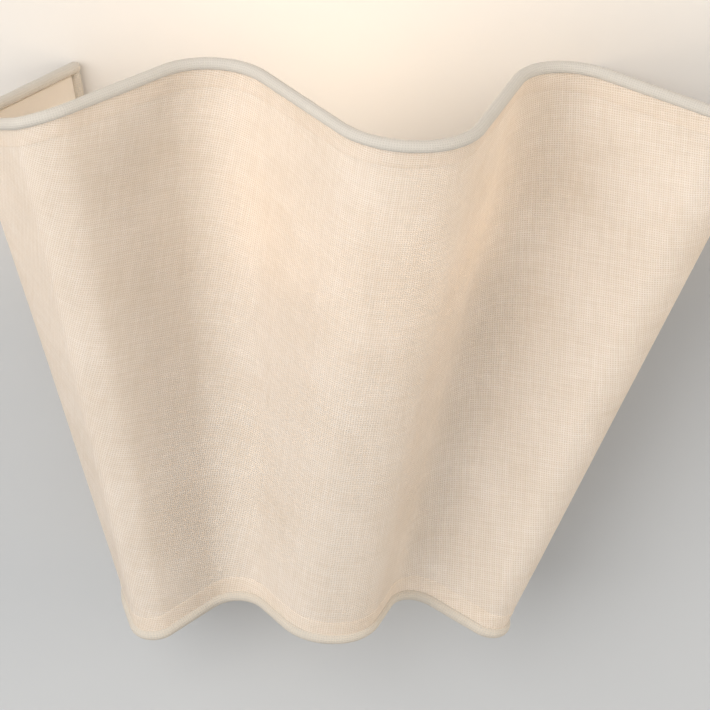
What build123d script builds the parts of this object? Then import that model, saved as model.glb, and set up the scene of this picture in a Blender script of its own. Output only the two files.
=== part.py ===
from build123d import *
import math
import os

# Wall light with a wavy linen shade. Millimetres, +Z up, +X to the right as seen from the room.
# The wall is the plane y = 0 and the room lies towards -Y. The origin is the centre of the
# back plate's rear face.

# ---- shade outline -------------------------------------------------------------------------
# The right half of each rim, seen from above, is five corners joined by tangent arcs, and the
# left half is its mirror image. A corner is (side, reach from the wall, height above the rim's
# level, arc radius).
top_level = 120.0
bottom_level = -100.0
top_front_lobe = (17.0, 154.0, 3.0, 27.0)
top_valley = (57.5, 78.0, 10.0, 24.5)
top_side_lobe = (130.0, 122.0, -2.0, 13.5)
top_side_return = (147.0, 59.0, -27.0, 35.0)
top_wall_end = (98.0, -26.0)           # side and height where the rim meets the upright
bottom_front_lobe = (11.0, 78.0, 0.0, 18.0)
bottom_valley = (30.0, 47.0, 8.0, 15.0)
bottom_side_lobe = (68.0, 63.0, -10.0, 8.0)
bottom_side_return = (72.0, 32.0, 0.0, 24.0)
bottom_wall_end = (51.5, -2.0)
wall_gap = 1.2             # from the wall to the rolls on the uprights

# ---- shade layers and wires ----------------------------------------------------------------
wire_radius = 1.6          # rim wires and uprights
roll_thickness = 0.6       # linen rolled over the wires
lining_thickness = 0.5
# the lining's panels, as the first edge and the one after the last on a line along the skin,
# where an edge is each straight run and each arc, counted from the left upright
lining_panels = (("left_lining", 0, 6), ("front_lining", 6, 11), ("right_lining", 11, 17))
linen_thickness = 0.5
hem_thickness = 0.35
top_hem_width = 7.5        # below the top roll
bottom_hem_width = 6.5     # above the bottom roll
contact_gap = 0.02         # between curved faces that touch
skin_gap = 0.2             # between the skin's edges and the rolls

# ---- back plate ----------------------------------------------------------------------------
plate_radius = 55.0
plate_depth = 24.0
plate_wall = 1.2
plate_edge_radius = 5.0

# ---- wall bracket and its screws -----------------------------------------------------------
bracket_end_clearance = 4.8    # from the bracket's ends to the back plate's wall
bracket_width = 22.0
bracket_thickness = 2.0
bracket_corner_radius = 4.0
slot_spacing = 48.0
slot_length = 12.0
slot_radius = 2.3
cable_hole_radius = 6.0
plate_screw_inset = 7.0    # from a bracket's end to its plate screw
plate_screw_radius = 2.0
plate_screw_head_radius = 4.0
plate_screw_head_height = 2.2
plate_screw_dome_radius = 1.5
screw_tip_clearance = 0.6  # from a screw's tip to the wall
screw_hole_clearance = 0.05

# ---- carrier strap and clips ---------------------------------------------------------------
strap_level = -40.0
strap_height = 12.0
strap_thickness = 2.0
strap_bend_radius = 5.0
strap_set_in = 1.9         # from an upright's centre line to the middle of the strap's end
clip_spacing = 28.0
clip_width = 10.0
clip_sheet = 0.8
clip_jaw_depth = 11.0
clip_lip_depth = 3.0
clip_lip_flare = 2.0
clip_grip_clearance = 0.05
rivet_radius = 1.5
rivet_head_radius = 2.8
rivet_head_height = 0.8

# ---- lamp arm ------------------------------------------------------------------------------
arm_level = -24.0
arm_reach = 62.0           # from the wall to the bulb's axis
arm_radius = 5.0
arm_wall = 1.0
arm_bend_radius = 14.0
arm_tail = 8.0             # behind the back plate's front face
arm_rise = 8.0             # straight, above the bend
arm_hole_clearance = 0.05
nut_across_flats = 14.0
nut_thickness = 3.0
collar_radius = 8.0
collar_thickness = 3.0

# ---- lampholder ----------------------------------------------------------------------------
holder_radius = 14.0
holder_foot_radius = 8.0
holder_wall = 2.0
holder_overlap = 6.0       # how far the arm enters the holder's cap
holder_taper_height = 8.0
holder_cap_height = 16.0
sleeve_height = 22.0
core_floor = 4.0
core_recess = 4.0          # from the sleeve's mouth down to the core
core_clearance = 0.1
shell_thickness = 0.7
shell_height = 16.0
contact_radius = 3.0
contact_thickness = 0.6

# ---- bulb ----------------------------------------------------------------------------------
bulb_cap_radius = 6.95     # screw cap over the thread's crests
bulb_cap_height = 17.0
bulb_cap_clearance = 0.08
cap_skirt_radius = 6.3
cap_skirt_height = 5.0
tip_radius = 2.4
tip_height = 1.4
tip_clearance = 0.05
insulator_height = 2.4
collar_foot_radius = 8.2
collar_mouth_radius = 20.0
collar_height = 19.0
bulb_collar_wall = 1.5
board_radius = 17.0
board_thickness = 1.6
globe_radius = 22.5
globe_wall = 1.0

# ---- wiring --------------------------------------------------------------------------------
block_width = 30.0
block_height = 16.0
block_depth = 12.0
block_level = 27.0
block_corner_radius = 1.5
block_screw_radius = 1.5
block_screw_head_radius = 2.7
block_screw_head_height = 1.5
terminal_pitch = 9.0
terminal_hole_radius = 1.6
terminal_screw_radius = 1.3
terminal_screw_spacing = 8.0
terminal_screw_recess = 1.0
lead_radius = 1.2
lead_spread = 1.7          # from the arm's axis to each lead
lead_bend_radius = 5.0
lead_entry = 3.0           # how far a lead enters the terminal block
lead_drop = 10.0           # straight, under the terminal block
lead_loop = 8.0            # how far the leads bow out behind the arm's inner end
earth_place = 10.0         # sideways place of the earth screw on the bracket
earth_bend_radius = 2.5
earth_drop = 4.0
lug_radius = 4.0
lug_thickness = 0.8
lug_length = 9.0
earth_screw_head_radius = 3.6
earth_screw_head_height = 2.0

roll_radius = wire_radius + roll_thickness
bracket_length = 2 * (plate_radius - plate_wall - bracket_end_clearance)
plate_screw_spacing = bracket_length - 2 * plate_screw_inset


def save(node, shape):
    """Write one node's solid, or group of solids, to its own STEP file."""
    shape.label = node
    export_step(shape, f"parts/{node}.step")


def group(solids):
    """Several like solids that share one node."""
    return Compound(children=list(solids))


def tube_along(path, outer, inner=0.0):
    """Round rod, or tube with a bore, along a path of tangent lines and arcs."""
    section = Circle(outer)
    if inner:
        section -= Circle(inner)
    return sweep(Plane(origin=path @ 0, z_dir=path % 0) * section, path=path)


def disc(radius, back, front, x=0.0, z=0.0):
    """Round solid square to the wall, between two distances from the wall."""
    middle = -(back + front) / 2
    return Pos(x, middle, z) * Rot(90, 0, 0) * Cylinder(radius, front - back)


def domed(radius, back, front, dome_radius, x=0.0, z=0.0):
    """Disc whose rim towards the room is rounded."""
    blank = disc(radius, back, front, x, z)
    return fillet(blank.edges().sort_by(Axis.Y)[0], dome_radius)


def turned(profile):
    """Solid of revolution about the bulb's axis from (radius, height) points."""
    face = make_face(Polyline(*[(r, 0, z) for r, z in profile], close=True).edges())
    return Pos(0, -arm_reach, 0) * revolve(face, axis=Axis.Z)


# ---- shade ---------------------------------------------------------------------------------
def rim_corners(level, lobes, wall_end):
    """Corners of a whole rim's centre line, from the left upright to the right one."""
    half = [Vector(side, -reach, level + height) for side, reach, height, _ in lobes]
    half.append(Vector(wall_end[0], -(wall_gap + roll_radius), level + wall_end[1]))
    mirrored = [Vector(-corner.X, corner.Y, corner.Z) for corner in reversed(half)]
    return mirrored + half


def rim_radii(lobes):
    """Arc radii of a whole rim, one for each corner between its ends."""
    half = [lobe[3] for lobe in lobes]
    return half[::-1] + half


def rim_path(corners, radii):
    """A rim wire's centre line, which runs past both uprights by a roll's radius."""
    first = corners[0] + (corners[0] - corners[1]).normalized() * roll_radius
    last = corners[-1] + (corners[-1] - corners[-2]).normalized() * roll_radius
    return FilletPolyline(first, *corners[1:-1], last, radius=radii)


top_lobes = (top_front_lobe, top_valley, top_side_lobe, top_side_return)
bottom_lobes = (bottom_front_lobe, bottom_valley, bottom_side_lobe, bottom_side_return)
top_rim = rim_corners(top_level, top_lobes, top_wall_end)
bottom_rim = rim_corners(bottom_level, bottom_lobes, bottom_wall_end)
top_radii = rim_radii(top_lobes)
bottom_radii = rim_radii(bottom_lobes)


def plan_normal(start, end):
    """Level unit vector, square to the run from start to end, towards the shade's inside."""
    run = end - start
    return Vector(-run.Y, run.X, 0).normalized()


def roll_clearance(rim, place, ruling, inset):
    """How far along a ruling the skin starts, so that it just clears the roll on a rim."""
    reach = roll_radius + skin_gap
    starts = []
    for a, b in zip(rim[max(place - 1, 0) :], rim[max(place, 1) : place + 2]):
        run = (b - a).normalized()
        across = ruling - run * ruling.dot(run)
        lean = inset * across.dot(plan_normal(a, b))
        square = across.dot(across)
        starts.append((math.sqrt(lean**2 - square * (inset**2 - reach**2)) - lean) / square)
    return max(starts)


def skin_line(below_top, above_bottom, inset):
    """Level line on the skin as edges, from the left upright to the right one.

    It runs at a distance below the top roll or, where that is None, above the bottom roll,
    and lies towards the inside of the skin's middle by inset.
    """
    points = []
    radii = []
    for place, (top, bottom) in enumerate(zip(top_rim, bottom_rim)):
        length = (bottom - top).length
        down = (bottom - top) * (1 / length)
        if below_top is None:
            share = 1 - (roll_clearance(bottom_rim, place, down * -1, inset) + above_bottom) / length
        else:
            share = (roll_clearance(top_rim, place, down, inset) + below_top) / length
        points.append(top + (bottom - top) * share)
        if 0 < place < len(top_rim) - 1:
            top_radius, bottom_radius = top_radii[place - 1], bottom_radii[place - 1]
            radii.append(top_radius + (bottom_radius - top_radius) * share)
    # the skin stops at the rolls on the uprights
    for end, beside in ((0, 1), (-1, -2)):
        run = (points[beside] - points[end]).normalized()
        upright = (bottom_rim[end] - top_rim[end]).normalized()
        points[end] += run * ((roll_radius + skin_gap) / run.cross(upright).length)
    moved = [points[0] + plan_normal(points[0], points[1]) * inset]
    for i in range(1, len(points) - 1):
        first = plan_normal(points[i - 1], points[i])
        second = plan_normal(points[i], points[i + 1])
        moved.append(points[i] + (first + second) * (inset / (1 + first.dot(second))))
        turns_inward = first.cross(second).Z > 0
        radii[i - 1] += -inset if turns_inward else inset
    moved.append(points[-1] + plan_normal(points[-2], points[-1]) * inset)
    return FilletPolyline(*moved, radius=radii).edges()


def skin_stack(inset):
    """Skin lines at one inset: the top edge, both hem lines and the bottom edge."""
    return [
        skin_line(0, None, inset),
        skin_line(top_hem_width, None, inset),
        skin_line(None, bottom_hem_width, inset),
        skin_line(None, 0, inset),
    ]


def skin_layer(outer_lines, inner_lines):
    """Thin wavy solid between two stacks of skin lines, each listed from the top down."""
    ruled = Face.make_surface_from_curves
    faces = []
    for lines in (outer_lines, inner_lines):
        for upper, lower in zip(lines, lines[1:]):
            faces += [ruled(a, b) for a, b in zip(upper, lower)]
    for level in (0, -1):
        faces += [ruled(a, b) for a, b in zip(outer_lines[level], inner_lines[level])]
    for edge, end in ((0, 0), (-1, 1)):
        outer_ends = [line[edge] @ end for line in outer_lines]
        inner_ends = [line[edge] @ end for line in inner_lines]
        for i in range(len(outer_ends) - 1):
            outer = Edge.make_line(outer_ends[i], outer_ends[i + 1])
            inner = Edge.make_line(inner_ends[i], inner_ends[i + 1])
            faces.append(ruled(outer, inner))
    return Solid(Shell(faces))


def make_skin():
    """Linen, the stiff lining panels it is bonded to, and the trim strips at both rims."""
    middle = (lining_thickness + linen_thickness) / 2
    outside = skin_stack(-middle)
    between = skin_stack(linen_thickness - middle)
    inside = skin_stack(middle)
    proud = skin_stack(-middle - hem_thickness)
    save("linen_cover", skin_layer(outside, between))
    for name, first, after in lining_panels:
        panel = [[line[first:after] for line in lines] for lines in (between, inside)]
        save(name, skin_layer(*panel))
    save("top_hem", skin_layer(proud[:2], outside[:2]))
    save("bottom_hem", skin_layer(proud[2:], outside[2:]))


def make_rims():
    """Bent rim wires with the linen rolled over them."""
    rims = (("top", top_rim, top_radii), ("bottom", bottom_rim, bottom_radii))
    for name, corners, radii in rims:
        path = rim_path(corners, radii)
        save(f"{name}_ring_wire", tube_along(path, wire_radius))
        save(f"{name}_rim_roll", tube_along(path, roll_radius, wire_radius))


def upright_rod(end, outer, inner=0.0):
    """Straight rod or tube beside the wall, its ends shaped to fit the rim rolls."""
    rod = tube_along(Line(top_rim[end], bottom_rim[end]), outer, inner)
    for rim in (top_rim, bottom_rim):
        away = (rim[end] - rim[-2 if end else 1]).normalized() * roll_radius * 3
        rod -= tube_along(Line(rim[end] - away, rim[end] + away), roll_radius + contact_gap)
    return rod


def make_strap():
    """Flat steel strap that the clips hold, bent back at both ends to the uprights."""
    top, bottom = top_rim[-1], bottom_rim[-1]
    meet = top + (bottom - top) * ((top.Z - strap_level) / (top.Z - bottom.Z))
    side = meet.X - strap_set_in
    corners = [
        (-side, meet.Y, strap_level),
        (-side, strap_middle, strap_level),
        (side, strap_middle, strap_level),
        (side, meet.Y, strap_level),
    ]
    path = FilletPolyline(*corners, radius=strap_bend_radius)
    section = Plane(origin=path @ 0, z_dir=path % 0, x_dir=(0, 0, 1))
    return sweep(section * Rectangle(strap_height, strap_thickness), path=path)


strap_back = -(plate_depth + clip_sheet + rivet_head_height + clip_grip_clearance)
strap_middle = strap_back - strap_thickness / 2


def make_uprights():
    """Uprights, the linen rolled over them and the strap, which is notched onto them."""
    strap = make_strap()
    for name, end in (("left", 0), ("right", -1)):
        wire = upright_rod(end, wire_radius)
        save(f"{name}_upright", wire)
        save(f"{name}_edge_roll", upright_rod(end, roll_radius, wire_radius) - make_strap())
        strap -= wire
    save("carrier_strap", strap)


# ---- clips ---------------------------------------------------------------------------------
def make_clips():
    """Two folded clips that grip the strap from above and below, open to the room."""
    gap = strap_height / 2 + clip_grip_clearance
    base = -(plate_depth + clip_sheet)
    mouth = base - clip_jaw_depth
    lip = mouth - clip_lip_depth
    flare = gap + clip_lip_flare
    upper = [
        (base, gap),
        (mouth, gap),
        (lip, flare),
        (lip, flare + clip_sheet),
        (mouth, gap + clip_sheet),
        (-plate_depth, gap + clip_sheet),
    ]
    lower = [(y, -z) for y, z in reversed(upper)]
    profile = make_face(Polyline(*upper, *lower, close=True).edges())
    clips = []
    for side in (-1, 1):
        centre = side * clip_spacing / 2
        start = Plane(origin=(centre - clip_width / 2, 0, strap_level), x_dir=(0, 1, 0), z_dir=(1, 0, 0))
        hole = disc(rivet_radius, plate_depth, plate_depth + clip_sheet, centre, strap_level)
        clips.append(extrude(start * profile, amount=clip_width) - hole)
    save("shade_clips", group(clips))


def make_rivets():
    inside = plate_depth - plate_wall
    outside = plate_depth + clip_sheet
    rivets = []
    for side in (-1, 1):
        x = side * clip_spacing / 2
        shank = disc(rivet_radius, inside, outside, x, strap_level)
        tail = disc(rivet_head_radius, inside - rivet_head_height, inside, x, strap_level)
        head = disc(rivet_head_radius, outside, outside + rivet_head_height, x, strap_level)
        rivets.append(tail + shank + head)
    save("clip_rivets", group(rivets))


# ---- back plate and wall bracket -----------------------------------------------------------
def make_back_plate():
    """Shallow round cup, open to the wall."""
    inside = plate_depth - plate_wall
    cup = domed(plate_radius, 0, plate_depth, plate_edge_radius)
    cup -= domed(plate_radius - plate_wall, -plate_wall, inside, plate_edge_radius - plate_wall)
    cup -= disc(arm_radius + arm_hole_clearance, inside, plate_depth, 0, arm_level)
    cup -= disc(block_screw_radius, inside, plate_depth, block_screw_place, block_level)
    for side in (-1, 1):
        screw_hole = plate_screw_radius + screw_hole_clearance
        cup -= disc(screw_hole, inside, plate_depth, side * plate_screw_spacing / 2)
        cup -= disc(rivet_radius, inside, plate_depth, side * clip_spacing / 2, strap_level)
    save("back_plate", cup)


def make_bracket():
    """Flat steel bar with two slots for the wall screws and a hole for the mains cable."""
    outline = RectangleRounded(bracket_length, bracket_width, bracket_corner_radius)
    threaded = Circle(plate_screw_radius + screw_hole_clearance)
    for side in (-1, 1):
        outline -= Pos(side * slot_spacing / 2, 0) * SlotOverall(slot_length, slot_radius * 2)
        outline -= Pos(side * plate_screw_spacing / 2, 0) * threaded
    outline -= Circle(cable_hole_radius)
    outline -= Pos(earth_place, 0) * threaded
    save("wall_bracket", extrude(Plane.XZ * outline, amount=bracket_thickness))


def make_plate_screws():
    screws = []
    for side in (-1, 1):
        x = side * plate_screw_spacing / 2
        head_top = plate_depth + plate_screw_head_height
        head = domed(plate_screw_head_radius, plate_depth, head_top, plate_screw_dome_radius, x)
        screws.append(head + disc(plate_screw_radius, screw_tip_clearance, plate_depth, x))
    save("plate_screws", group(screws))


# ---- lamp arm ------------------------------------------------------------------------------
arm_inner_end = -(plate_depth - arm_tail)
arm_top = arm_level + arm_bend_radius + arm_rise


def make_arm():
    """Bent tube with a lock nut behind the plate and a collar in front of it."""
    corners = [
        (0, arm_inner_end, arm_level),
        (0, -arm_reach, arm_level),
        (0, -arm_reach, arm_top),
    ]
    path = FilletPolyline(*corners, radius=arm_bend_radius)
    save("lamp_arm", tube_along(path, arm_radius, arm_radius - arm_wall))
    bore = Circle(arm_radius + contact_gap)
    hexagon = RegularPolygon(nut_across_flats / 2, 6, major_radius=False)
    ring = Circle(collar_radius)
    nut = extrude(Plane.XZ * Pos(0, arm_level) * (hexagon - bore), amount=nut_thickness)
    collar = extrude(Plane.XZ * Pos(0, arm_level) * (ring - bore), amount=collar_thickness)
    save("arm_inner_nut", Pos(0, nut_thickness + plate_wall - plate_depth, 0) * nut)
    save("arm_collar", Pos(0, -plate_depth, 0) * collar)


# ---- lampholder ----------------------------------------------------------------------------
holder_base = arm_top - holder_overlap
cap_top = holder_base + holder_cap_height
sleeve_top = cap_top + sleeve_height
core_bottom = cap_top - core_floor
core_top = sleeve_top - core_recess
core_radius = holder_radius - holder_wall - core_clearance
shell_bore = bulb_cap_radius + bulb_cap_clearance
shell_outer_radius = shell_bore + shell_thickness


def make_lampholder():
    """Cap screwed on the arm, sleeve, core, screw shell and centre contact."""
    bore = arm_radius + contact_gap
    inner = holder_radius - holder_wall
    shoulder = holder_base + holder_taper_height
    cap = [
        (bore, holder_base),
        (holder_foot_radius, holder_base),
        (holder_radius, shoulder),
        (holder_radius, cap_top),
        (inner, cap_top),
        (inner, shoulder + holder_wall),
        (bore, holder_base + holder_wall * 2),
    ]
    core = [
        (0, core_bottom),
        (core_radius, core_bottom),
        (core_radius, core_top),
        (shell_outer_radius, core_top),
        (shell_outer_radius, cap_top),
        (0, cap_top),
    ]
    save("holder_cap", turned(cap))
    save("holder_core", turned(core))
    save("holder_sleeve", turned(ring_profile(inner, holder_radius, cap_top, sleeve_top)))
    shell_top = cap_top + shell_height
    save("holder_shell", turned(ring_profile(shell_bore, shell_outer_radius, cap_top, shell_top)))
    contact_top = cap_top + contact_thickness
    save("holder_contact", turned(ring_profile(0, contact_radius, cap_top, contact_top)))


def ring_profile(inner, outer, low, high):
    """Corners of a plain ring's section, or of a disc's where inner is zero."""
    return [(inner, low), (outer, low), (outer, high), (inner, high)]


# ---- bulb ----------------------------------------------------------------------------------
tip_bottom = cap_top + contact_thickness + tip_clearance
insulator_bottom = tip_bottom + tip_height
bulb_cap_bottom = insulator_bottom + insulator_height
skirt_bottom = bulb_cap_bottom + bulb_cap_height
skirt_top = skirt_bottom + cap_skirt_height
collar_top = skirt_top + collar_height
globe_centre = collar_top + math.sqrt(globe_radius**2 - collar_mouth_radius**2)


def make_bulb():
    """Small globe bulb: tip, insulator, screw cap, heat collar, lamp board and globe."""
    save("bulb_tip", turned(ring_profile(0, tip_radius, tip_bottom, insulator_bottom)))
    insulator = [
        (0, insulator_bottom),
        (tip_radius, insulator_bottom),
        (cap_skirt_radius, bulb_cap_bottom),
        (0, bulb_cap_bottom),
    ]
    save("bulb_insulator", turned(insulator))
    cap = [
        (0, bulb_cap_bottom),
        (cap_skirt_radius, bulb_cap_bottom),
        (bulb_cap_radius, bulb_cap_bottom + bulb_cap_radius - cap_skirt_radius),
        (bulb_cap_radius, skirt_bottom),
        (cap_skirt_radius, skirt_bottom + bulb_cap_radius - cap_skirt_radius),
        (cap_skirt_radius, skirt_top),
        (0, skirt_top),
    ]
    save("bulb_cap", turned(cap))
    floor = skirt_top + bulb_collar_wall
    collar = [
        (0, skirt_top),
        (collar_foot_radius, skirt_top),
        (collar_mouth_radius, collar_top),
        (collar_mouth_radius - bulb_collar_wall, collar_top),
        (collar_foot_radius - bulb_collar_wall, floor),
        (0, floor),
    ]
    save("bulb_collar", turned(collar))
    flare = (collar_mouth_radius - collar_foot_radius) / (collar_top - floor)
    seat = collar_top - (collar_mouth_radius - bulb_collar_wall - board_radius) / flare
    save("bulb_board", turned(ring_profile(0, board_radius, seat, seat + board_thickness)))
    globe = Sphere(globe_radius) - Sphere(globe_radius - globe_wall)
    below = Pos(0, 0, collar_top - globe_centre - globe_radius)
    globe -= below * Cylinder(globe_radius * 2, globe_radius * 2)
    save("bulb_globe", Pos(0, -arm_reach, globe_centre) * globe)


# ---- wiring --------------------------------------------------------------------------------
block_front = plate_depth - plate_wall
block_back = block_front - block_depth
block_middle = (block_front + block_back) / 2
block_foot = block_level - block_height / 2
block_screw_place = terminal_pitch / 2


def make_terminal_block():
    """Three-way terminal block screwed to the inside of the plate."""
    block = Pos(0, -block_middle, block_level) * Box(block_width, block_depth, block_height)
    block = fillet(block.edges().filter_by(Axis.Y), block_corner_radius)
    block -= disc(block_screw_radius, block_back, block_front, block_screw_place, block_level)
    screws = []
    for x in (-terminal_pitch, 0, terminal_pitch):
        bore = Cylinder(terminal_hole_radius, block_height)
        block -= Pos(x, -block_middle, block_level) * bore
        for row in (-1, 1):
            z = block_level + row * terminal_screw_spacing / 2
            block -= disc(terminal_screw_radius, block_back, block_middle, x, z)
            start = block_back + terminal_screw_recess
            end = block_middle - lead_radius
            screws.append(disc(terminal_screw_radius, start, end, x, z))
    save("terminal_block", block)
    save("terminal_screws", group(screws))
    head = disc(
        block_screw_head_radius,
        block_back - block_screw_head_height,
        block_back,
        block_screw_place,
        block_level,
    )
    shank = disc(block_screw_radius, block_back, plate_depth, block_screw_place, block_level)
    save("block_screw", head + shank)


def make_lamp_leads():
    """Live and neutral leads, from the terminal block through the arm to the holder's core."""
    radii = [lead_bend_radius, lead_bend_radius, arm_bend_radius]
    for name, side in (("live", -1), ("neutral", 1)):
        beside = side * lead_spread
        corners = [
            (side * terminal_pitch, -block_middle, block_foot + lead_entry),
            (side * terminal_pitch, -block_middle, block_foot - lead_drop),
            (beside, arm_inner_end + lead_loop, arm_level),
            (beside, -arm_reach, arm_level),
            (beside, -arm_reach, core_bottom),
        ]
        save(f"{name}_lead", tube_along(FilletPolyline(*corners, radius=radii), lead_radius))


def make_earth():
    """Earth lead, its lug and the screw that holds the lug to the bracket."""
    lead_y = -(bracket_thickness + lug_thickness + lead_radius + contact_gap)
    corners = [
        (earth_place, lead_y, lug_radius),
        (earth_place, lead_y, lug_length),
        (0, -block_middle, block_foot - earth_drop),
        (0, -block_middle, block_foot + lead_entry),
    ]
    path = FilletPolyline(*corners, radius=earth_bend_radius)
    save("earth_lead", tube_along(path, lead_radius))
    tail = Pos(0, lug_length / 2) * Rectangle(lug_radius, lug_length)
    lug = Circle(lug_radius) + tail - Circle(plate_screw_radius + screw_hole_clearance)
    lug = extrude(Plane.XZ * Pos(earth_place, 0) * lug, amount=lug_thickness)
    save("earth_lug", Pos(0, -bracket_thickness, 0) * lug)
    seat = bracket_thickness + lug_thickness
    shank = disc(plate_screw_radius, screw_tip_clearance, seat, earth_place)
    head = disc(earth_screw_head_radius, seat, seat + earth_screw_head_height, earth_place)
    save("earth_screw", shank + head)


os.makedirs("parts", exist_ok=True)
make_skin()
make_rims()
make_uprights()
make_clips()
make_rivets()
make_back_plate()
make_bracket()
make_plate_screws()
make_arm()
make_lampholder()
make_bulb()
make_terminal_block()
make_lamp_leads()
make_earth()
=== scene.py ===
import math

import bpy
import numpy as np
from bpy.props import FloatProperty, FloatVectorProperty, IntProperty, PointerProperty
from mathutils import Matrix, Vector, noise


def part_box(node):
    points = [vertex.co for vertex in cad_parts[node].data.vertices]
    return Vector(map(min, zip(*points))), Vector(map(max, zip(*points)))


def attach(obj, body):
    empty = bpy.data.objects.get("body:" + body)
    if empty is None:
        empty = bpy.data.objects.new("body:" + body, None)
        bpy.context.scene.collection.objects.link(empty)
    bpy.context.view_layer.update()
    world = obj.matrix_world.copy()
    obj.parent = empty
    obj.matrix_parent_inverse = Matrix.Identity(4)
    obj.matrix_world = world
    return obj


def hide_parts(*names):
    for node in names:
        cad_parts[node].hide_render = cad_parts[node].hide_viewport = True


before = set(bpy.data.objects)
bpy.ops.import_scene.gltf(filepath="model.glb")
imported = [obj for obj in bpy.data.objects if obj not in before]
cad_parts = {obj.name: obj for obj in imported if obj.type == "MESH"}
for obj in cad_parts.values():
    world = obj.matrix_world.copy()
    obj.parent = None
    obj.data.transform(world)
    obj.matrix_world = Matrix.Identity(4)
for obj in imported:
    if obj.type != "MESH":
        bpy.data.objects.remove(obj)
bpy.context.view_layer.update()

bl_info = {
    "name": "Fabric shade wall light",
    "version": (1, 0, 0),
    "blender": (4, 5, 0),
    "location": "3D View > Sidebar > Wall Light",
    "description": "Dresses the packed wall light: linen shade, fittings, bulb and studio",
    "category": "Object",
}


def linear(hex_colour):
    """An sRGB hex colour as linear red, green and blue."""
    parts = [int(hex_colour[i : i + 2], 16) / 255 for i in (1, 3, 5)]
    return tuple(p / 12.92 if p <= 0.04045 else ((p + 0.055) / 1.055) ** 2.4 for p in parts)


def length(name, description, default, **more):
    """A size in metres for the sidebar."""
    if hasattr(default, "__len__"):
        more["size"] = len(default)
        return FloatVectorProperty(
            name=name, description=description, default=default, unit="LENGTH", precision=4, **more
        )
    return FloatProperty(
        name=name, description=description, default=default, unit="LENGTH", precision=4, **more
    )


def colour(name, description, hex_colour):
    """A colour for the sidebar."""
    return FloatVectorProperty(
        name=name, description=description, default=linear(hex_colour), subtype="COLOR",
        min=0.0, max=1.0,
    )


# ---- sizes and colours ---------------------------------------------------------------------
CORNER = "Side, reach from the wall, height above the rim's level, arc radius"


class ShadeSizes(bpy.types.PropertyGroup):
    """Sizes of the linen shade, as in the CAD part."""

    top_level: length("Top rim", "Height of the top rim above the lamp's middle", 0.120)
    bottom_level: length("Bottom rim", "Height of the bottom rim", -0.100)
    top_front_lobe: length("Top front lobe", CORNER, (0.017, 0.154, 0.003, 0.027))
    top_valley: length("Top valley", CORNER, (0.0575, 0.078, 0.010, 0.0245))
    top_side_lobe: length("Top side lobe", CORNER, (0.130, 0.122, -0.002, 0.0135))
    top_side_return: length("Top side return", CORNER, (0.147, 0.059, -0.027, 0.035))
    top_wall_end: length("Top wall end", "Side, reach and height", (0.098, 0.0034, -0.026))
    bottom_front_lobe: length("Bottom front lobe", CORNER, (0.011, 0.078, 0.0, 0.018))
    bottom_valley: length("Bottom valley", CORNER, (0.030, 0.047, 0.008, 0.015))
    bottom_side_lobe: length("Bottom side lobe", CORNER, (0.068, 0.063, -0.010, 0.008))
    bottom_side_return: length("Bottom side return", CORNER, (0.072, 0.032, 0.0, 0.024))
    bottom_wall_end: length("Bottom wall end", "Side, reach and height", (0.0515, 0.0034, -0.002))
    roll_radius: length("Roll radius", "Outside radius of the cloth rolled over a wire", 0.0022)
    roll_step: length("Roll step", "How far the rolled cloth's free edge stands proud", 0.00022)
    tuck: length("Tuck", "How far the cloth's edges run in under the rolls", 0.0004)
    lining_half: length("Bond", "From the middle of both layers to the linen's outside", 0.0005)
    hem_thickness: length("Hem thickness", "Thickness of the turned-over strips", 0.00018)
    top_hem_width: length("Top hem", "Width of the strip under the top roll", 0.0075)
    bottom_hem_width: length("Bottom hem", "Width of the strip over the bottom roll", 0.0065)
    wander: length("Wander", "How far the linen's face is out of true", 0.00016)
    run_steps: IntProperty(
        name="Run steps", description="Faces along each straight run of a rim", default=8, min=1
    )
    arc_steps: IntProperty(
        name="Arc steps", description="Faces along each arc of a rim", default=18, min=2
    )
    rows: IntProperty(
        name="Rows", description="Faces from the top hem to the bottom hem", default=30, min=2
    )


class LinenLook(bpy.types.PropertyGroup):
    """Colours and thread sizes of the cloth."""

    thread_pitch: length("Thread pitch", "From one thread of the weave to the next", 0.0009)
    slub_length: length("Slub length", "Length of the thick places in a thread", 0.016)
    thread: colour("Thread", "Raised middle of the threads", "#FFFAF3")
    gap: colour("Gap", "Between the threads", "#DBCDB9")
    # rolled, rolled_shaded_gap and edge colour the same linen as the cover, only darker: painted
    # shade that stands in for the shade on the rolled beads
    rolled: colour("Rolled edge", "Cloth doubled over the wires", "#D3CCC1")
    rolled_shaded_gap: colour("Rolled gaps", "Colour between the threads of the rolled cloth", "#C2BBB0")
    edge: colour("Edge thread", "Colour of the lower rim and side edges", "#D2C7B7")
    through: colour("Light through", "Colour of the light that the cloth lets through", "#FFF1DF")
    sheet: colour("Lining", "The translucent sheet behind the cloth", "#F6EFE4")


class LampLook(bpy.types.PropertyGroup):
    """The lit bulb."""

    glow: colour("Glow", "Colour of the lit bulb", "#FFEAD3")
    thread_root: length("Thread root", "Radius of the screw cap between its ridges", 0.0063)
    thread_height: length("Thread height", "Height of the cap's thread", 0.017)
    thread_ridges: IntProperty(
        name="Thread ridges", description="Turns of the cap's thread", default=6, min=1
    )
    glow_strength: FloatProperty(
        name="Strength", description="Brightness of the lit bulb", default=5.9, min=0.0
    )


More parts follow.
